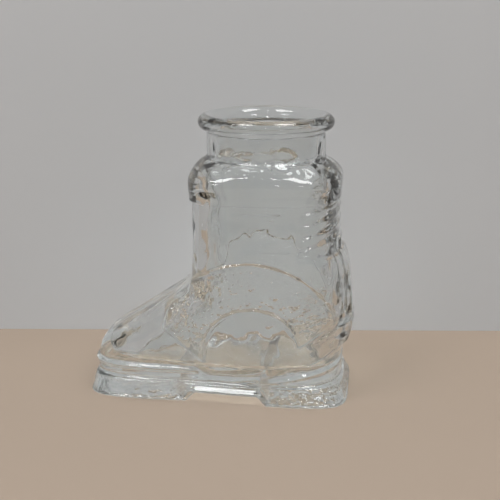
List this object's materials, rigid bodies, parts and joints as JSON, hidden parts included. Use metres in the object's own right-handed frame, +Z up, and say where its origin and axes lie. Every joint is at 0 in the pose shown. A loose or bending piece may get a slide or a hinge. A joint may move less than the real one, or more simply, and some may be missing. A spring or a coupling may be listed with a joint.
{
  "type": "boot-shaped shot glass",
  "caption": "Clear thick-walled shot glass in the form of a ski boot, with a rolled drinking rim, a hollow leg and foot, side arches and flared sole lugs.",
  "frame": {"origin": "under the middle of the glass's bounding box, on the table that the sole lugs stand on", "axes": "+Z up towards the rim, +X towards the heel, so the toe points to -X, and +Y across the boot"},
  "size_m": [0.0728, 0.043, 0.076],
  "materials": {
    "clear_glass": "clear, polished, slightly wavy as blown in a mould",
    "stippled_glass": "clear glass with a fine stipple that looks frosted"
  },
  "bodies": {
    "root": {"rim_bead": "clear_glass", "neck": "clear_glass", "shoulder": "clear_glass", "cuff": "clear_glass", "leg": "clear_glass", "toe_box": "clear_glass", "heel_counter": "clear_glass", "toe_welt": "clear_glass", "heel_welt": "clear_glass", "sole_plate": "stippled_glass", "toe_lug": "stippled_glass", "heel_lug": "stippled_glass"}
  },
  "joints": []
}
